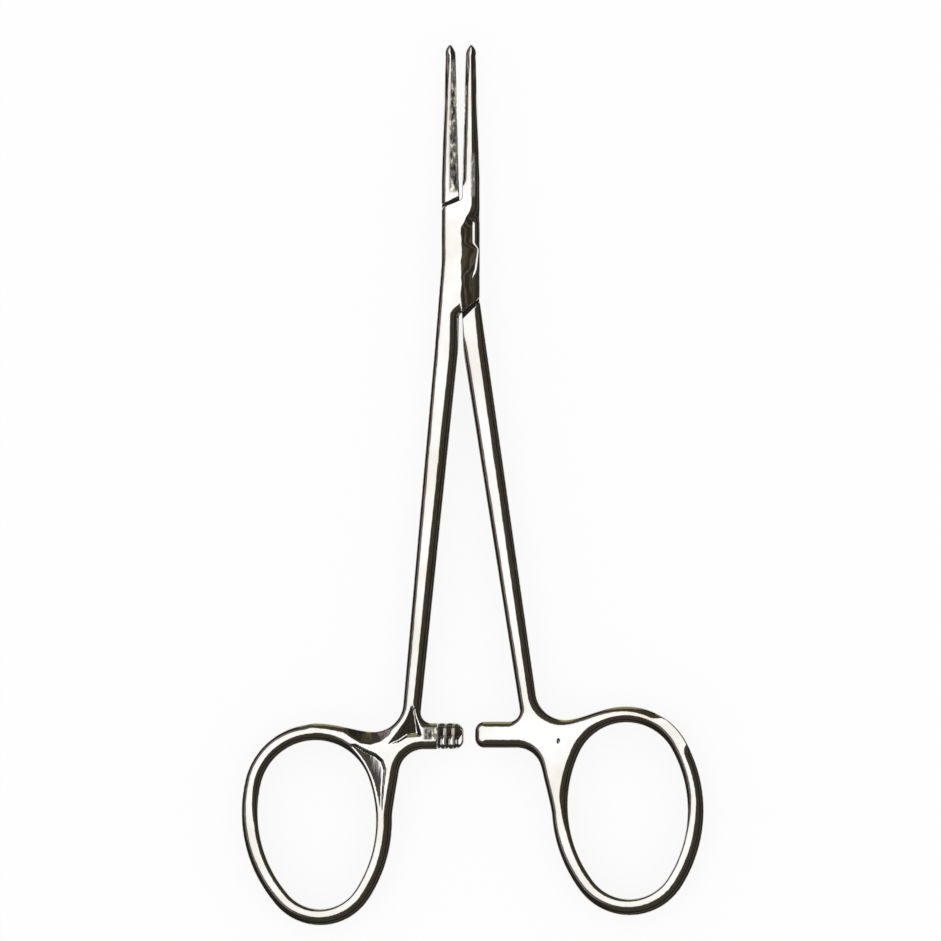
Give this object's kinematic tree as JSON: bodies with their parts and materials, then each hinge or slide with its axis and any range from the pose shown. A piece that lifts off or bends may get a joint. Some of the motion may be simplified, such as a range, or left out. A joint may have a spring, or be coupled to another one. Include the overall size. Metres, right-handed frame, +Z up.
{
  "type": "mosquito forceps",
  "caption": "Ring-handled locking forceps with slim straight serrated jaws, a box lock and a toothed ratchet between the finger rings.",
  "frame": {"origin": "middle of the footprint, on the surface that the forceps lie on", "axes": "+X across, +Y along the forceps towards the jaw tips, +Z up out of the flat side"},
  "size_m": [0.0656, 0.1251, 0.0046],
  "materials": {
    "polished_steel": "mirror-polished stainless steel"
  },
  "bodies": {
    "box_body": {"box_half": "polished_steel", "pivot_pin": "polished_steel"},
    "tang_body": {"tang_half": "polished_steel"}
  },
  "joints": [
    {"name": "box_lock", "type": "hinge", "parent": "box_body", "child": "tang_body", "pos_m": [-0.0017, 0.03238, 0.0023], "axis": [0, 0, 1], "range_deg": [-2.6, 55]}
  ]
}
